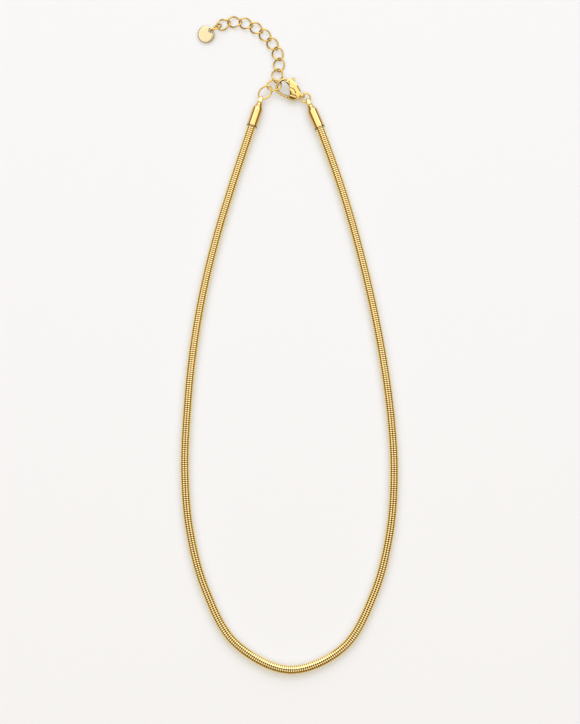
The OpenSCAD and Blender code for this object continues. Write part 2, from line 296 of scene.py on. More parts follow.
class Tree:
    """Adds nodes to a node tree and links them, so that a tree reads as a list of steps."""

    def __init__(self, group: NodeTree) -> None:
        """Keeps the tree to which the nodes go."""
        self.group = group

    def add(self, kind: str, inputs: dict | None = None, **options: object) -> Node:
        """Adds one node.

        Args:
            kind: Type name of the node.
            inputs: Values, sockets or nodes by the name or the number of the input.
            options: Settings of the node itself.

        Returns:
            The new node.
        """
        node = self.group.nodes.new(kind)
        for name, value in options.items():
            setattr(node, name, value)
        for key, value in (inputs or {}).items():
            self.feed(node.inputs[key], value)
        return node

    def feed(self, socket: NodeSocket, value: object) -> None:
        """Links a socket to another one or to a node's first output, or sets its value.

        Args:
            socket: Socket of an input.
            value: What goes into it.
        """
        if isinstance(value, Node):
            value = value.outputs[0]
        if isinstance(value, NodeSocket):
            self.group.links.new(value, socket)
        else:
            socket.default_value = value

    def math(self, operation: str, a: object, b: object = 0.0, c: object = 0.0,
             clamp: bool = False) -> NodeSocket:
        """Works out one step of arithmetic on up to three values, sockets or nodes."""
        values = {0: a, 1: b, 2: c}
        return self.add("ShaderNodeMath", values, operation=operation, use_clamp=clamp).outputs[0]

    def times(self, a: object, b: object) -> NodeSocket:
        """Multiplies two values."""
        return self.math("MULTIPLY", a, b)

    def blend(self, share: object, a: object, b: object) -> NodeSocket:
        """Mixes two values, whose sockets are 2 and 3 of the Mix node."""
        return self.add("ShaderNodeMix", {0: share, 2: a, 3: b}).outputs[0]

    def tint(self, share: object, a: object, b: object) -> NodeSocket:
        """Mixes two colours, whose sockets are 6 and 7 of the Mix node."""
        return self.add("ShaderNodeMix", {0: share, 6: a, 7: b}, data_type="RGBA").outputs[2]

    def noise(self, inputs: dict) -> Node:
        """Adds a noise texture that is fixed to the object, with the given inputs."""
        place = self.add("ShaderNodeTexCoord").outputs["Object"]
        return self.add("ShaderNodeTexNoise", {"Vector": place, **inputs})

    def place(self) -> NodeOutputs:
        """Splits the place of each point into the sockets of its three values."""
        return self.add("ShaderNodeSeparateXYZ", {0: self.add("GeometryNodeInputPosition")}).outputs

    def vector(self, x: object, y: object, z: object) -> NodeSocket:
        """Joins three values into a vector."""
        return self.add("ShaderNodeCombineXYZ", {0: x, 1: y, 2: z}).outputs[0]

    def sockets(self, kind: str, *names: str, side: str = "INPUT", minimum: float | None = None) -> None:
        """Gives the tree named sockets.

        Args:
            kind: What they carry.
            names: Names of the sockets.
            side: Whether each is an input or an output.
            minimum: Lowest value.
        """
        for name in names:
            made = self.group.interface.new_socket(name=name, in_out=side, socket_type="NodeSocket" + kind)
            if minimum is not None:
                made.min_value = minimum

    def surface(self, inputs: dict) -> None:
        """Ends the tree of a material with one shader, with the given inputs."""
        self.add("ShaderNodeOutputMaterial", {"Surface": self.add("ShaderNodeBsdfPrincipled", inputs)})


def geometry_tree(name: str) -> Tree:
    """Starts a geometry tree with a mesh coming in and a mesh going out.

    Args:
        name: Name of the node group.

    Returns:
        The tree.
    """
    tree = Tree(bpy.data.node_groups.new(name, "GeometryNodeTree"))
    tree.sockets("Geometry", "Geometry")
    tree.sockets("Geometry", "Geometry", side="OUTPUT")
    return tree


def rib_tree() -> NodeTree:
    """Tree that sets closed ribs with a flat crest and a V-shaped groove between them along a line, with
    painted shade in the grooves and a painted dark reflection along their spine.

    Returns:
        The node group, whose inputs are the sizes of the ribs.
    """
    tree = geometry_tree("ribs_along_line")
    tree.sockets("Float", "Pitch", "Crest Radius", "Groove Radius", "Crest Half Width",
                      "Foot Half Width", "Wave", "Groove Shade", "Spine Shade", minimum=0.0)
    tree.sockets("Int", "Sides", minimum=8)
    tree.sockets("Material", "Finish")
    corners, first_corner = 4, 1 / 8
    spine_sharpness, spine_in_groove = 20.0, 0.3
    given = tree.add("NodeGroupInput").outputs
    rows = tree.math("ADD", given["Sides"], 1)
    sheet = tree.add("GeometryNodeMeshGrid", {
        "Size X": 1.0, "Size Y": 1.0, "Vertices X": corners + 1, "Vertices Y": rows})
    place = tree.place()
    section = tree.times(tree.math("ADD", place[0], 0.5 + first_corner), math.tau)
    around = tree.times(place[1], math.tau)
    cosine, sine = tree.math("COSINE", around), tree.math("SINE", around)
    crest = tree.math("GREATER_THAN", tree.math("COSINE", section), 0.0)
    side = tree.math("SIGN", tree.math("SINE", section))
    radius = tree.blend(crest, given["Groove Radius"], given["Crest Radius"])
    half = tree.blend(crest, given["Foot Half Width"], given["Crest Half Width"])
    twice = tree.math("COSINE", tree.times(around, 2.0))
    wave = tree.times(twice, given["Wave"])
    # Painted reflection: a dark line along the top and the underside of the ribs stands in for the lens's
    # reflection; the grooves get painted shade.
    spine = tree.math("POWER", tree.math("ABSOLUTE", sine), spine_sharpness)
    in_groove = tree.math("MULTIPLY_ADD", spine, spine_in_groove, given["Groove Shade"])
    depth = tree.blend(crest, in_groove, tree.times(spine, given["Spine Shade"]))
    marked = tree.add("GeometryNodeStoreNamedAttribute", {
        "Geometry": sheet.outputs["Mesh"], "Name": PAINTED_SHADE, "Value": depth})
    wrapped = tree.add("GeometryNodeSetPosition", {
        "Geometry": marked,
        "Position": tree.vector(tree.times(radius, cosine), tree.times(radius, sine),
                                tree.math("MULTIPLY_ADD", side, half, wave))})
    rib = tree.add("GeometryNodeMergeByDistance", {"Geometry": wrapped, "Distance": 1e-6})
    line = tree.add("GeometryNodeMeshToCurve", {"Mesh": given["Geometry"]})
    upright = tree.add("GeometryNodeSetCurveNormal", {"Curve": line}, mode="Z_UP")
    spots = tree.add("GeometryNodeCurveToPoints", {
        "Curve": upright, "Length": given["Pitch"]}, mode="LENGTH")
    ribs = tree.add("GeometryNodeInstanceOnPoints", {
        "Points": spots.outputs["Points"], "Instance": rib, "Rotation": spots.outputs["Rotation"]})
    return close_tree(tree, ribs, given["Finish"])


def wire_tree() -> NodeTree:
    """Tree that sets an oval wire ring, its two ends twisted against each other, on each point.

    Returns:
        The node group, whose inputs are the sizes of the ring.
    """
    tree = geometry_tree("oval_rings_on_points")
    tree.sockets("Float", "Half Length", "Half Width", "Wire Radius", minimum=0.0)
    tree.sockets("Float", "Twist")
    tree.sockets("Int", "Steps", "Sides", minimum=6)
    tree.sockets("Material", "Finish")
    given = tree.add("NodeGroupInput").outputs
    circle = tree.add("GeometryNodeCurvePrimitiveCircle", {"Resolution": given["Steps"], "Radius": 1.0})
    place = tree.place()
    angle = tree.times(given["Twist"], place[0])
    side = tree.times(given["Half Width"], place[1])
    oval = tree.add("GeometryNodeSetPosition", {
        "Geometry": circle.outputs["Curve"],
        "Position": tree.vector(tree.times(given["Half Length"], place[0]),
                                tree.times(side, tree.math("COSINE", angle)),
                                tree.times(side, tree.math("SINE", angle)))})
    section = tree.add("GeometryNodeCurvePrimitiveCircle", {
        "Resolution": given["Sides"], "Radius": given["Wire Radius"]})
    ring = tree.add("GeometryNodeCurveToMesh", {
        "Curve": oval, "Profile Curve": section.outputs["Curve"]})
    facing = tree.add("GeometryNodeInputNamedAttribute", {"Name": TURN}, data_type="FLOAT_VECTOR")
    rings = tree.add("GeometryNodeInstanceOnPoints", {
        "Points": given["Geometry"], "Instance": ring, "Rotation": facing.outputs["Attribute"]})
    return close_tree(tree, rings, given["Finish"])


def close_tree(tree: Tree, instances: Node, finish: NodeSocket) -> NodeTree:
    """Ends a geometry tree: instances made real, shaded smooth, and given their finish.

    Args:
        tree: The tree to end.
        instances: Node of the instances.
        finish: Socket of the material.

    Returns:
        The finished node group.
    """
    real = tree.add("GeometryNodeRealizeInstances", {"Geometry": instances})
    soft = tree.add("GeometryNodeSetShadeSmooth", {"Geometry": real})
    dressed = tree.add("GeometryNodeSetMaterial", {"Geometry": soft, "Material": finish})
    tree.add("NodeGroupOutput", {0: dressed})
    return tree.group


def link_object(name: str, data: ID) -> Object:
    """Puts a mesh, a light or a camera into the scene as an object at the origin.

    Args:
        name: Name of the object.
        data: What it shows.

    Returns:
        The object.
    """
    made = bpy.data.objects.new(name, data)
    bpy.context.scene.collection.objects.link(made)
    return made


def baked(source: Object, name: str, finish: Material) -> Object:
    """Turns an object with live modifiers into a plain mesh at the origin, and removes the first.

    Args:
        source: Object with its modifiers.
        name: Name of the piece.
        finish: Material of the piece.

    Returns:
        The plain piece.
    """
    bpy.context.view_layer.update()
    depsgraph = bpy.context.evaluated_depsgraph_get()
    mesh = bpy.data.meshes.new_from_object(source.evaluated_get(depsgraph), depsgraph=depsgraph)
    old = source.data
    bpy.data.objects.remove(source)
    bpy.data.meshes.remove(old)
    mesh.name = name
    if TURN in mesh.attributes:
        mesh.attributes.remove(mesh.attributes[TURN])
    outwards(mesh)
    mesh.materials.clear()
    mesh.materials.append(finish)
    return link_object(name, mesh)


def outwards(mesh: Mesh, crease: float = 180.0) -> None:
    """Turns the faces of closed shells outwards and shades them smooth.

    Args:
        mesh: The mesh.
        crease: Angle in degrees from which an edge stays sharp.
    """
    shell = bmesh.new()
    shell.from_mesh(mesh)
    bmesh.ops.recalc_face_normals(shell, faces=shell.faces)
    for face in shell.faces:
        face.smooth = True
    for edge in shell.edges:
        edge.smooth = edge.calc_face_angle(0.0) < math.radians(crease)
    shell.to_mesh(mesh)
    shell.free()


def grown(name: str, points: list[Vector], edges: list[tuple[int, int]], tree: NodeTree,
          sizes: dict[str, object], finish: Material, turns: list[Euler] | None = None) -> Object:
    """Grows a piece from points or a line with a geometry tree.

    Args:
        name: Name of the piece.
        points: Points in millimetres.
        edges: Pairs of points that make the line, or none.
        tree: The node group.
        sizes: Values of its named inputs.
        finish: Material of the piece.
        turns: Turn of each point, where the tree reads one.

    Returns:
        The plain piece.
    """
    mesh = bpy.data.meshes.new(name + "_seed")
    mesh.from_pydata([p * MM for p in points], edges, [])
    if turns:
        facing = mesh.attributes.new(TURN, "FLOAT_VECTOR", "POINT")
        facing.data.foreach_set("vector", [value for turn in turns for value in turn])
    seed = link_object(name + "_seed", mesh)
    modifier = seed.modifiers.new("grow", "NODES")
    modifier.node_group = tree
    sockets = {item.name: item.identifier for item in tree.interface.items_tree if item.in_out == "INPUT"}
    for key, value in {**sizes, "Finish": finish}.items():
        modifier[sockets[key]] = value
    return baked(seed, name, finish)


def skin(shell: BMesh, rows: list[list[BMVert]], looped: bool = True) -> None:
    """Joins rows of corners with faces, each row closed on itself.

    Args:
        shell: Mesh that has the corners.
        rows: Corners of each row; a row that is one corner all the way makes a pole.
        looped: Whether the last row is joined to the first.
    """
    for row, after in zip(rows, rows[1:] + rows[:1] if looped else rows[1:]):
        for j in range(len(row)):
            k = (j + 1) % len(row)
            corners = list(dict.fromkeys((row[j], row[k], after[k], after[j])))
            if len(corners) > 2:
                shell.faces.new(corners)


def lathe(profile: list[Pair], sides: int, looped: bool = True) -> BMesh:
    """Turns a profile of (height, radius) around the X axis.

    Args:
        profile: Points of the outline in millimetres; those of radius 0 are poles.
        sides: Steps around.
        looped: Whether the profile closes on itself, and doesn't run from pole to pole.

    Returns:
        A closed shell along +X.
    """
    shell = bmesh.new()
    rows = []
    for x, r in profile:
        if r <= 0:
            rows.append([shell.verts.new((x, 0, 0))] * sides)
        else:
            rows.append([shell.verts.new((x, r * math.cos(a), r * math.sin(a)))
                         for a in (math.tau * i / sides for i in range(sides))])
    skin(shell, rows, looped)
    return shell


def finished(shell: BMesh, name: str, place: Matrix, finish: Material) -> Object:
    """Places a shell in the frame and makes it a piece.

    Args:
        shell: Mesh in millimetres, in the piece's own frame.
        name: Name of the piece.
        place: Where it goes.
        finish: Material of the piece.

    Returns:
        The piece.
    """
    mesh = bpy.data.meshes.new(name)
    shell.to_mesh(mesh)
    shell.free()
    mesh.transform(place)
    mesh.materials.append(finish)
    outwards(mesh)
    return link_object(name, mesh)


def polish_group() -> NodeTree:
    """Shader group of a polished surface: faint tone changes, painted shade, uneven gloss and fine wear.

    Returns:
        The node group, with a colour, a roughness and a height going out.
    """
    tree = Tree(bpy.data.node_groups.new("jewellers_polish", "ShaderNodeTree"))
    tree.sockets("Color", "Metal", "Recess", "Shade")
    tree.sockets("Float", "Depth", "Gloss", "Unevenness", "Patch Size", "Scratch Size",
                      minimum=0.0)
    tree.sockets("Color", "Color", side="OUTPUT")
    tree.sockets("Float", "Roughness", "Height", side="OUTPUT")
    given = tree.add("NodeGroupInput").outputs
    patches = tree.noise({"Scale": given["Patch Size"], "Detail": 3.0, "Roughness": 0.55})
    fine = tree.noise({"Scale": given["Scratch Size"], "Detail": 2.0, "Distortion": 0.6})
    share = tree.add("ShaderNodeMapRange", {"Value": patches, "From Min": 0.38, "From Max": 0.72})
    tone = tree.tint(tree.times(share, 0.35), given["Metal"], given["Recess"])
    # Painted shade: the tone goes towards the shade colour as far as the painted shade attribute says.
    tone = tree.tint(given["Depth"], tone, given["Shade"])
    uneven = tree.times(tree.math("SUBTRACT", patches, 0.45), given["Unevenness"])
    wear = tree.times(given["Unevenness"], 0.7)
    worn = tree.times(tree.math("SUBTRACT", fine, 0.5), wear)
    rough = tree.math("ADD", given["Gloss"], tree.math("ADD", uneven, worn), clamp=True)
    tree.add("NodeGroupOutput", {"Color": tone, "Roughness": rough, "Height": fine})
    return tree.group


def cleared(block: Material | World) -> Tree:
    """Gives a material or a world an empty node tree.

    Args:
        block: The material or the world.

    Returns:
        Its tree.
    """
    block.use_nodes = True
    block.node_tree.nodes.clear()
    return Tree(block.node_tree)


@dataclass(frozen=True)
class GoldFinish:
    """A polished gold: its metal, the colour of its painted shade, its gloss and the size of its unevenness.
    """

    name: str
    metal: Colour
    recess: Colour
    patch_size: float
    gloss: float = 0.1
    unevenness: float = 0.05
    relief: float = 0.02
    coat: float = 1.0
    coat_index: float = 1.8
    coat_gloss: float = 0.05
    # Colour of the painted shade.
    shade: Colour = (0.05, 0.022, 0.004, 1)
    scratch_size: float = 9000.0
    scratch_depth: float = 0.00002

    def material(self, polish: NodeTree) -> Material:
        """Builds the material.

        Args:
            polish: The shared shader group.

        Returns:
            The material.
        """
        made = bpy.data.materials.new(self.name)
        made.diffuse_color = self.metal
        tree = cleared(made)
        group = tree.add("ShaderNodeGroup", node_tree=polish)
        # Amount of painted shade that each piece stores in its attribute.
        deep = tree.add("ShaderNodeAttribute", attribute_name=PAINTED_SHADE).outputs["Fac"]
        tree.feed(group.inputs["Depth"], deep)
        for key in ("Metal", "Shade", "Recess", "Gloss", "Unevenness", "Patch Size", "Scratch Size"):
            tree.feed(group.inputs[key], getattr(self, key.lower().replace(" ", "_")))
        bump = tree.add("ShaderNodeBump", {
            "Strength": self.relief, "Distance": self.scratch_depth, "Height": group.outputs["Height"]})
        tree.surface({"Base Color": group.outputs["Color"], "Roughness": group.outputs["Roughness"],
                      "Metallic": 1.0, "Coat Weight": self.coat, "Coat Roughness": self.coat_gloss,
                      "Coat IOR": self.coat_index, "Normal": bump})
        return made


class Gold(Enum):
    """The golds of the necklace, in the order in which their materials are made."""

    CHAIN = GoldFinish("chain_gold", (1.0, 0.8, 0.35, 1), (0.97, 0.73, 0.24, 1), 1400,
                       gloss=0.06, unevenness=0.03, relief=0.01)
    WIRE = GoldFinish("wire_gold", (0.61, 0.43, 0.08, 1), (0.52, 0.34, 0.05, 1), 1200,
                      unevenness=0.06, coat=0.3, coat_index=1.5)
    CAP = GoldFinish("cap_gold", (0.69, 0.5, 0.2, 1), (0.59, 0.4, 0.12, 1), 700, gloss=0.07, coat_index=1.6)
    CAST = GoldFinish("cast_gold", (0.64, 0.48, 0.17, 1), (0.54, 0.37, 0.1, 1), 700,
                      gloss=0.1, coat=0.6, coat_index=1.6)
    TAG = GoldFinish("tag_gold", (0.54, 0.475, 0.29, 1), (0.5, 0.42, 0.22, 1), 500, gloss=0.2)


@dataclass
class SnakeChain:
    """The snake chain: thin ribs side by side, which look like one round cord of metal."""

    plan: Plan
    pitch: float = 0.65
    crest: float = 1.46
    groove: float = 1.2
    crest_half: float = 0.18
    foot_half: float = 0.322
    wave: float = 0.05
    # Painted shade in the grooves, and a painted dark line along the spine that stands in for the lens's
    # reflection.
    groove_shade: float = 0.7
    spine_shade: float = 0.6
    sides: int = 16
    crease: float = 45.0

    def build(self, finish: Material) -> Object:
        """Builds the ribs along the chain's middle line.

        Args:
            finish: Material of the chain.

        Returns:
            The chain as one piece.
        """
        line = self.plan.chain_line(self.crest)
        edges = [(i, i + 1) for i in range(len(line) - 1)]
        sizes = {"Pitch": self.pitch * MM, "Crest Radius": self.crest * MM, "Groove Radius": self.groove * MM,
                 "Crest Half Width": self.crest_half * MM, "Foot Half Width": self.foot_half * MM,
                 "Wave": self.wave * MM, "Groove Shade": self.groove_shade, "Spine Shade": self.spine_shade,
                 "Sides": self.sides}
        ribs = grown("chain_ribs", line, edges, rib_tree(), sizes, finish)
        outwards(ribs.data, self.crease)
        return ribs

    def dress(self, piece: Object) -> None:
        """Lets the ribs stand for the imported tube."""
        settle(piece, NECKLACE, "snake_chain")


@dataclass
class EndCap:
    """A turned end cap: barrel with an open mouth, waisted neck and an eye."""

    plan: Plan
    node: str
    place: Pose
    sides: int = 64
    taper: tuple[Pair, ...] = ((0, 0.95), (0.28, 0.76), (0.54, 0.6), (0.78, 0.52), (1, 0.45))
    taper_steps: int = 5
    eye_sides: int = 48
    eye_steps: int = 20
    eye_power: float = 0.62
    eye_swell: float = 1.27
    eye_lean: float = 0.42
    fin_from: float = 0.5
    fin_slope: float = 0.18
    fin_height: float = 1.017
    fin_limit: float = 1.8
    # Painted shade just inside the mouth, and how far in from the mouth it reaches.
    mouth_shade: float = 0.85
    mouth_depth: float = 0.25

    def rim(self) -> float:
        """Radius of the eye's outer wall."""
        return self.plan.eye_hole / 2 + self.plan.eye_wall

    def outline(self) -> list[Pair]:
        """Section of the turned part, from the pole of its neck to the pole of its bore.

        Returns:
            Points (distance from the mouth, radius): over the outside to the mouth, then down the bore.
        """
        p, r = self.plan, self.plan.cap_r
        reach = p.cap_len - p.cap_barrel - p.eye_hole / 2 - 0.22
        outer = [(0.0, r - 0.12), (0.02, r - 0.06), (0.07, r - 0.015), (0.2, r), (0.34, r),
                 (p.cap_barrel - 0.9, r), (p.cap_barrel - 0.45, r), (p.cap_barrel - 0.18, r * 0.993)]
        knots = [Vector(k) for k in ((-0.2, 1.02), *self.taper, (1.2, 0.36))]
        neck = []
        for i in range(len(knots) - 3):
            neck += [through(*knots[i:i + 4], s / self.taper_steps) for s in range(self.taper_steps)]
        neck.append(knots[-2])
        outer += [(p.cap_barrel + reach * k.x, r * k.y) for k in neck]
        bore = [(p.bore_depth, 0.0), (p.bore_depth, p.bore_r - 0.1), (p.bore_depth - 0.1, p.bore_r),
                (0.1, p.bore_r), (0.03, p.bore_r + 0.02), (0.0, p.bore_r + 0.07)]
        return [(outer[-1][0], 0.0), *reversed(outer), *reversed(bore)]

    def eye(self) -> list[Pair]:
        """Section of the eye, rounded on all four edges.

        Returns:
            Points (height, radius).
        """
        low, high = self.plan.eye_hole / 2, self.rim()
        middle, half = (low + high) / 2, (high - low) / 2
        section = []
        for i in range(self.eye_steps):
            a = math.tau * i / self.eye_steps
            up, out = (math.copysign(abs(v) ** self.eye_power, v) for v in (math.sin(a), math.cos(a)))
            section.append((self.plan.eye_width / 2 * up, middle + half * out))
        return section

    def fin(self, towards: float, up: float) -> float:
        """Growth of the eye's outer wall that fills the wedge between the eye and the barrel's shoulder.

        Args:
            towards: Distance of the point from the eye's middle towards the barrel.
            up: Distance of the point above or under the eye's middle.

        Returns:
            The factor by which the point moves away from the eye's middle.
        """
        rim = self.rim()
        far = math.hypot(towards, up)
        if towards <= 0 or far < self.plan.eye_hole / 2 + self.fin_from * self.plan.eye_wall:
            return 1.0
        drop = up / far - self.fin_slope * towards / far
        reach = min(self.fin_limit, rim * self.fin_height / drop) if drop > 0 else self.fin_limit
        return max(1.0, reach / rim)

    def build(self, finish: Material) -> Object:
        """Builds the cap.

        Args:
            finish: Material of the cap.

        Returns:
            The cap as one piece.
        """
        body = lathe(self.outline(), self.sides, looped=False)
        ring = lathe(self.eye(), self.eye_sides)
        for corner in ring.verts:
            corner.co.x *= self.eye_swell + self.eye_lean * max(-1.0, min(1.0, corner.co.y / self.rim()))
            corner.co.yz *= self.fin(corner.co.y, abs(corner.co.z))
        quarter = Matrix.Rotation(math.radians(90), 4, "Z")
        ring.transform(Matrix.Translation((self.plan.cap_len, 0, 0)) @ quarter)
        spare = bpy.data.meshes.new("spare")
        ring.to_mesh(spare)
        ring.free()
        body.from_mesh(spare)
        bpy.data.meshes.remove(spare)
        # Painted shade inside the mouth of the cap.
        depth = body.verts.layers.float.new(PAINTED_SHADE)
        for corner in body.verts:
            corner[depth] = self.mouth_shade if corner.co.x < self.mouth_depth else 0.0
        return finished(body, self.node + "_turned", self.place.matrix(), finish)

    def dress(self, piece: Object) -> None:
        """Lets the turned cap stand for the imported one."""
        settle(piece, NECKLACE, self.node)


@dataclass
class Rings:
    """The oval wire links of the extender, the ring in the left cap, the tag ring and the clasp ring."""

    plan: Plan
    steps: int = 64
    sides: int = 14
    tree: NodeTree = field(default_factory=wire_tree)

    def build(self, name: str, places: list[Pose], a: float, b: float, twist: float,
              finish: Material, wire: float) -> Object:
        """Builds one or more equal rings.

        Args:
            name: Name of the piece.
            places: Pose of each ring.
            a: Half length of the wire's middle line.
            b: Half width of the wire's middle line.
            twist: Angle between the two ends in degrees.
            finish: Material of the rings.
            wire: Diameter of the wire.

        Returns:
            The rings as one piece.
        """
        sizes = {"Half Length": a * MM, "Half Width": b * MM, "Twist": math.radians(twist),
                 "Wire Radius": wire / 2 * MM, "Steps": self.steps, "Sides": self.sides}
        spots = [Vector((p.x, p.y, p.z)) for p in places]
        return grown(name, spots, [], self.tree, sizes, finish, [p.euler() for p in places])

    def dress(self, finish: Material) -> None:
        """Builds every ring of the necklace and lets it stand for its packed one.

        Args:
            finish: Material of the rings.
        """
        p, r = self.plan, self.plan.clasp_ring_r()
        links = [p.extender_link(i) for i in range(len(p.headings))]
        names = [f"extender_link_{i + 2}" for i in range(len(links))]
        for name, nodes, places, a, b, twist, wire in (
                ("extender_wire_links", names, links, p.link_a, p.link_b, -40, p.wire_d),
                ("hooked_wire_link", ["extender_link_1"], [p.hooked_link()], p.hooked_a, p.hooked_b, 0,
                 p.wire_d),
                ("cap_wire_ring", ["cap_ring"], [p.cap_ring()], p.cap_ring_a, p.cap_ring_b, 7, p.wire_d),
                ("tag_wire_ring", ["tag_ring"], [p.tag_ring()], p.tag_ring_a, p.tag_ring_b, 22, p.wire_d),
                ("clasp_wire_ring", ["clasp_ring"], [p.clasp_ring()], r, r, 0, p.clasp_ring_wire)):
            settle(self.build(name, places, a, b, twist, finish, wire), NECKLACE, *nodes)


@dataclass
class Tag:
    """The bare round end tag, with a soft bevel and a hole at its rim."""

    plan: Plan
    sides: int = 96
    bevel: float = 0.3
    bevel_drop: float = 0.25
    growth: float = 0.13
    hole_land: float = 0.45
    rim_land: float = 0.12

    def rims(self) -> list[Triple]:
        """Loops of the tag, from the top of its hole over the rim to the underside.

        Returns:
            For each loop, 0 at the hole or 1 at the rim, the inset from that edge, and the height.
        """
        h, b, d = self.plan.tag_thick / 2, self.bevel, self.bevel_drop
        top = [(0, 0.0, h - 0.09), (0, 0.03, h - 0.02), (0, 0.09, h), (0, 0.2, h), (1, b + 0.5, h),
               (1, b + 0.08, h), (1, b, h - 0.012), (1, b - 0.1, h - 0.07), (1, 0.06, h - d + 0.045),
               (1, 0.012, h - d - 0.01), (1, 0.0, h - d - 0.08)]
        return top + [(side, inset, -z) for side, inset, z in reversed(top)]

    def build(self, finish: Material) -> Object:
        """Builds the tag.

        Args:
            finish: Material of the tag.

        Returns:
            The tag as one piece.
        """
        radius, hole = self.plan.tag_d / 2 + self.growth, self.plan.tag_hole / 2
        centre = Vector((-self.plan.tag_edge() - self.growth, 0))
        shell = bmesh.new()
        rows = []
        for side, inset, z in self.rims():
            row = []
            for i in range(self.sides):
                ray = heading(360 * i / self.sides)
                if side == 0:
                    reach = hole + inset
                    if inset > 0.1:
                        limit = self.to_circle(centre, ray, radius - self.bevel - 0.1)
                        reach = min(reach, hole + self.hole_land * max(limit - hole, 0.0))
                else:
                    reach = self.to_circle(centre, ray, radius - inset)
                    reach = max(reach, hole + self.rim_land * (1 - inset))
                row.append(shell.verts.new((centre.x + self.growth + reach * ray.x, ray.y * reach, z)))
            rows.append(row)
        skin(shell, rows)
        return finished(shell, "round_tag", self.plan.tag().matrix(), finish)

    def to_circle(self, start: Vector, ray: Vector, radius: float) -> float:
        """Distance from a point along a ray to a circle around the middle of the tag.

        Args:
            start: The point.
            ray: Unit vector of the ray.
            radius: Radius of the circle.

        Returns:
            The distance.
        """
        b = start.dot(ray)
        inside = b * b - start.length_squared + radius * radius
        return -b + math.sqrt(max(inside, 0.0))

    def dress(self, piece: Object) -> None:
        """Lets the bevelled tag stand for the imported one."""
        settle(piece, NECKLACE, "tag")


@dataclass(frozen=True)
class Cushion:
    """The soft crown of a casting, whose flat faces sink towards its outer walls.

    Edge is the share of the thickness left at the walls, reach how far from them it is whole, and span the
    stretch that is pressed. The walls of the cavity around the heart don't count.
    """

    edge: float
    reach: float
    span: Pair
    fades: Pair = (0.4, 0.5)
    wall_slope: float = 0.35
    wall_band: float = 0.4
    heart: Pair = (6.0, 0.9)
    heart_r: float = 1.3
    heart_facing: float = -0.3
    passes: int = 26

    def walls(self, mesh: Mesh, full: float) -> KDTree:
        """Finds the outer walls of the casting.

        Args:
            mesh: Mesh in the frame of the clasp.
            full: Half its thickness.

        Returns:
            Their places seen from above.
        """
        heart = Vector(self.heart)
        found = [vertex.co for vertex in mesh.vertices
                 if abs(vertex.normal.z) < self.wall_slope and abs(vertex.co.z) < self.wall_band * full
                 and (vertex.co.xy - heart).length > self.heart_r
                 and (vertex.co.xy - heart).dot(vertex.normal.xy) > self.heart_facing]
        near = KDTree(len(found))
        for i, at in enumerate(found):
            near.insert((at.x, at.y, 0), i)
        near.balance()
        return near

    def press(self, mesh: Mesh) -> None:
        """Presses the flat faces into a cushion that is lowest at the outer walls, and smooths them.

        Args:
            mesh: Mesh in the frame of the clasp.
        """
        start, end = self.span
        full = max(abs(vertex.co.z) for vertex in mesh.vertices if start < vertex.co.x < end)
        near = self.walls(mesh, full)
        for vertex in mesh.vertices:
            at = vertex.co
            if start < at.x < end:
                far = min(near.find((at.x, at.y, 0))[2] / self.reach, 1.0)
                ceiling = full * (self.edge + (1 - self.edge) * math.sqrt(far * (2 - far)))
                fade = min(1.0, (end - at.x) / self.fades[1], (at.x - start) / self.fades[0])
                height = abs(at.z)
                vertex.co.z = math.copysign(height + (min(height, ceiling) - height) * fade, at.z)
        shell = bmesh.new()
        shell.from_mesh(mesh)
        for _ in range(self.passes):
            bmesh.ops.smooth_vert(shell, verts=shell.verts, factor=0.5, use_axis_x=True, use_axis_y=True,
                                  use_axis_z=True)
        shell.to_mesh(mesh)
        shell.free()


@dataclass(frozen=True)
class Recesses:
    """The walls of the clasp that get painted shade, in millimetres in its own frame: around its hole and in
    its slot.
    """

    hole: Pair = (2.5, 0.9)
    hole_reach: float = 3.4
    hole_shade: float = 0.75
    facing_from: float = 0.12
    facing_span: float = 0.3
    slot_x: Pair = (5.0, 7.3)
    slot_y: Pair = (-1.1, -0.35)
    slot_up: float = 0.4
    slot_facing: float = 0.85
    slot_shade: float = 0.9

    def mark(self, mesh: Mesh) -> None:
        """Paints shade onto the walls that face the hole and onto those of the slot.

        Args:
            mesh: Mesh in the frame of the clasp.
        """
        mesh.update()
        hole = Vector(self.hole)
        # Painted shade, strongest on walls that face the hole and in the slot.
        depth = mesh.attributes.new(PAINTED_SHADE, "FLOAT", "POINT")
        for vertex, mark in zip(mesh.vertices, depth.data):
            at, facing = vertex.co, vertex.normal
            inwards = (hole - at.xy).normalized().dot(facing.xy)
            steep = max(0.0, min(1.0, (inwards - self.facing_from) / self.facing_span))
            by_hole = (at.xy - hole).length < self.hole_reach
            in_slot = (self.slot_x[0] < at.x < self.slot_x[1] and self.slot_y[0] < at.y < self.slot_y[1]
                       and abs(at.z) > self.slot_up and facing.z * at.z < abs(at.z) * self.slot_facing)
            mark.value = max(self.hole_shade * steep if by_hole else 0.0, self.slot_shade if in_slot else 0.0)


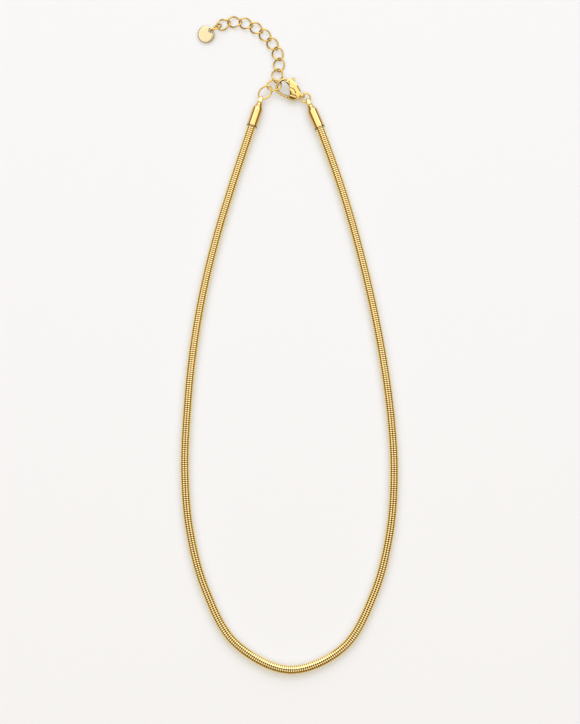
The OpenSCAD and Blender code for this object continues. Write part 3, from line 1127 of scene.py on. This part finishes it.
@dataclass
class Clasp:
    """The lobster clasp: a cast body with its hook and eye, and the lever that turns in it."""

    plan: Plan
    grain: float = 0.055
    body_rounds: int = 7
    lever_rounds: int = 21
    body_crown: Cushion = Cushion(0.38, 2.1, (2.9, 8.3))
    lever_crown: Cushion = Cushion(0.3, 0.95, (0.0, 9.0))
    recesses: Recesses = Recesses()

    def build(self, finish: Material) -> list[Object]:
        """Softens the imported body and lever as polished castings.

        Args:
            finish: Material of both.

        Returns:
            The body and the lever.
        """
        return [self.cast("clasp_body", "clasp_casting", self.body_rounds, self.body_crown, finish),
                self.cast("clasp_lever", "lever_casting", self.lever_rounds, self.lever_crown, finish)]

    def cast(self, node: str, name: str, rounds: int, crown: Cushion,
             finish: Material) -> Object:
        """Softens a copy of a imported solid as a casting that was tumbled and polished.

        Args:
            node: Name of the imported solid.
            name: Name of the piece.
            rounds: Passes of smoothing.
            crown: Cushion into which its faces are pressed.
            finish: Material of the piece.

        Returns:
            The piece.
        """
        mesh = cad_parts[node].data.copy()
        mesh.transform(Matrix.Scale(1 / MM, 4))
        shell = bmesh.new()
        shell.from_mesh(mesh)
        bmesh.ops.remove_doubles(shell, verts=shell.verts, dist=1e-4)
        shell.to_mesh(mesh)
        shell.free()
        rough = link_object(name + "_rough", mesh)
        remesh = rough.modifiers.new("remesh", "REMESH")
        remesh.mode = "VOXEL"
        remesh.voxel_size = self.grain
        soften = rough.modifiers.new("tumble", "SMOOTH")
        soften.factor = 0.5
        soften.iterations = rounds
        piece = baked(rough, name, finish)
        place = self.plan.clasp()
        into = Matrix.Translation((place.x, place.y, place.z)) @ place.euler().to_matrix().to_4x4()
        piece.data.transform(into.inverted())
        piece.data.update()
        crown.press(piece.data)
        # Painted shade on the walls around the hole and in the slot.
        self.recesses.mark(piece.data)
        piece.data.transform(Matrix.Scale(MM, 4) @ into)
        return piece

    def dress(self, body: Object, lever: Object) -> None:
        """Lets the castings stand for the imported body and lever."""
        settle(body, NECKLACE, "clasp_body")
        settle(lever, LEVER, "clasp_lever")


def settle(piece: Object, body: str, *nodes: str) -> None:
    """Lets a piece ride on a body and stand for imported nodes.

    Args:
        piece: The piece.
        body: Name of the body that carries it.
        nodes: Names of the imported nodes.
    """
    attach(piece, body)
    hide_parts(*nodes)
    log.info("%s: %d faces for %s", piece.name, len(piece.data.polygons), ", ".join(nodes))


@dataclass(frozen=True)
class SoftBox:
    """A rectangular soft light that looks at a point over the table."""

    name: str
    place: Triple
    width: float
    depth: float
    glow: float
    aim: Triple = (0.0, 0.0, 0.0)
    tint: Triple = (1.0, 0.995, 0.985)

    def build(self) -> None:
        """Adds the light, as bright as its glow says, seen from the table."""
        data = bpy.data.lights.new(self.name, "AREA")
        data.shape = "RECTANGLE"
        data.size, data.size_y = self.width, self.depth
        data.energy = self.glow * math.pi * self.width * self.depth
        data.color = self.tint
        light = link_object(self.name, data)
        light.location = self.place
        light.rotation_euler = (Vector(self.place) - Vector(self.aim)).to_track_quat("Z", "Y").to_euler()
        light.visible_camera = False


@dataclass
class Studio:
    """Pale table, soft lights, a warm room and the camera above the table."""

    tilt: float = 9.0
    distance: float = 0.5425
    target: Triple = (0.000195, -0.008243, 0.0)
    lens: float = 108.62
    floor_half: float = 3.0
    card_size: Pair = (0.11, 0.09)
    card_tilt: float = 1.0
    card_gap: float = 0.05
    card_sides: int = 48
    card_tone: Colour = (0.22, 0.17, 0.1, 1)
    card_fleck: Colour = (0.28, 0.22, 0.14, 1)
    floor_tone: Colour = (0.393, 0.45, 0.59, 1)
    floor_fleck: Colour = (0.5, 0.48, 0.45, 1)
    # Glow of the table: painted light that lifts and warms the shadows on it.
    floor_glow: Colour = (0.34, 0.3, 0.22, 1)
    room: Colour = (0.4, 0.26, 0.06, 1)
    backdrop: Colour = (0.93, 0.92, 0.9, 1)
    boxes: tuple[SoftBox, ...] = (
        SoftBox("softbox_overhead", (0, 0.15, 1.0), 2.3, 2.0, 1.5, (0, 0.15, 0)),
        SoftBox("softbox_north", (0, 1.1, 1.1), 1.6, 0.9, 2.0),
        SoftBox("softbox_low", (0, 1.45, 0.5), 2.0, 0.6, 1.3),
    )

    def build(self) -> None:
        """Builds table, lights, room and camera."""
        self.build_floor()
        self.build_lens_card()
        for box in self.boxes:
            box.build()
        self.build_room()
        self.build_camera()
        view = bpy.context.scene.view_settings
        view.view_transform = "Standard"
        view.look = "None"
        view.exposure = 0.0
        view.gamma = 1.0

    def build_floor(self) -> None:
        """Builds the pale table with a paper-like surface, which also glows a little: painted light that
        lifts and warms the shadows on it.
        """
        mesh = bpy.data.meshes.new("table")
        s = self.floor_half
        mesh.from_pydata([(-s, -s, 0), (s, -s, 0), (s, s, 0), (-s, s, 0)], [], [(0, 1, 2, 3)])
        paper = bpy.data.materials.new("pale_table")
        tree = cleared(paper)
        grain = tree.noise({"Scale": 40.0, "Detail": 2.0})
        tone = tree.tint(tree.times(grain, 0.02), self.floor_tone, self.floor_fleck)
        # The glow is painted light in the table's shadows.
        tree.surface({"Base Color": tone, "Roughness": 0.9, "Specular IOR Level": 0.1,
                      "Emission Color": self.floor_glow, "Emission Strength": 1.0})
        mesh.materials.append(paper)
        link_object("table", mesh)

    def build_lens_card(self) -> None:
        """Builds the brown card around the lens, which polished metal shows as a darker spot."""
        mesh = bpy.data.meshes.new("lens_card")
        wide, deep = self.card_size
        turns = [math.tau * i / self.card_sides for i in range(self.card_sides)]
        ring = [(wide * math.cos(a), deep * math.sin(a), 0) for a in turns]
        mesh.from_pydata(ring, [], [tuple(range(self.card_sides))])
        mesh.transform(Matrix.Rotation(math.radians(self.card_tilt), 4, "X"))
        place = Vector(self.target) + (self.distance + self.card_gap) * self.away(self.card_tilt)
        mesh.transform(Matrix.Translation(place))
        brown = bpy.data.materials.new("brown_card")
        tree = cleared(brown)
        shade = tree.tint(tree.noise({"Scale": 8.0}), self.card_tone, self.card_fleck)
        tree.surface({"Base Color": shade, "Roughness": 0.9})
        mesh.materials.append(brown)
        card = link_object("lens_card", mesh)
        card.visible_camera = False
        card.visible_diffuse = False

    def build_room(self) -> None:
        """Sets the warm room, which the camera sees as a pale backdrop."""
        world = bpy.data.worlds.new("warm_room")
        tree = cleared(world)
        seen = tree.add("ShaderNodeLightPath").outputs["Is Camera Ray"]
        room = tree.add("ShaderNodeBackground", {0: self.room, 1: 1.0})
        pale = tree.add("ShaderNodeBackground", {0: self.backdrop, 1: 1.0})
        both = tree.add("ShaderNodeMixShader", {0: seen, 1: room, 2: pale})
        tree.add("ShaderNodeOutputWorld", {"Surface": both})
        bpy.context.scene.world = world

    def away(self, tilt: float) -> Vector:
        """Unit vector from the table upwards, tilted towards the front by an angle in degrees."""
        return Vector((0, -math.sin(math.radians(tilt)), math.cos(math.radians(tilt))))

    def build_camera(self) -> None:
        """Adds the camera of the photograph."""
        data = bpy.data.cameras.new("photo_camera")
        data.lens = self.lens
        data.sensor_width = 36
        data.sensor_fit = "HORIZONTAL"
        data.clip_start = 0.01
        data.clip_end = 50
        camera = link_object("photo_camera", data)
        camera.location = Vector(self.target) + self.away(self.tilt) * self.distance
        camera.rotation_euler = (math.radians(self.tilt), 0, 0)
        bpy.context.scene.camera = camera


def main() -> None:
    """Builds the studio and every piece of the necklace, in order."""
    logging.basicConfig(level=logging.INFO, format="%(name)s: %(message)s")
    plan = Plan()
    Studio().build()
    polish = polish_group()
    golds = {gold: gold.value.material(polish) for gold in Gold}
    chain = SnakeChain(plan)
    chain.dress(chain.build(golds[Gold.CHAIN]))
    for node, place in (("left_end_cap", plan.left_cap()), ("right_end_cap", plan.right_cap())):
        cap = EndCap(plan, node, place)
        cap.dress(cap.build(golds[Gold.CAP]))
    Rings(plan).dress(golds[Gold.WIRE])
    tag = Tag(plan)
    tag.dress(tag.build(golds[Gold.TAG]))
    clasp = Clasp(plan)
    clasp.dress(*clasp.build(golds[Gold.CAST]))
    bpy.context.view_layer.update()


if __name__ == "__main__":
    main()
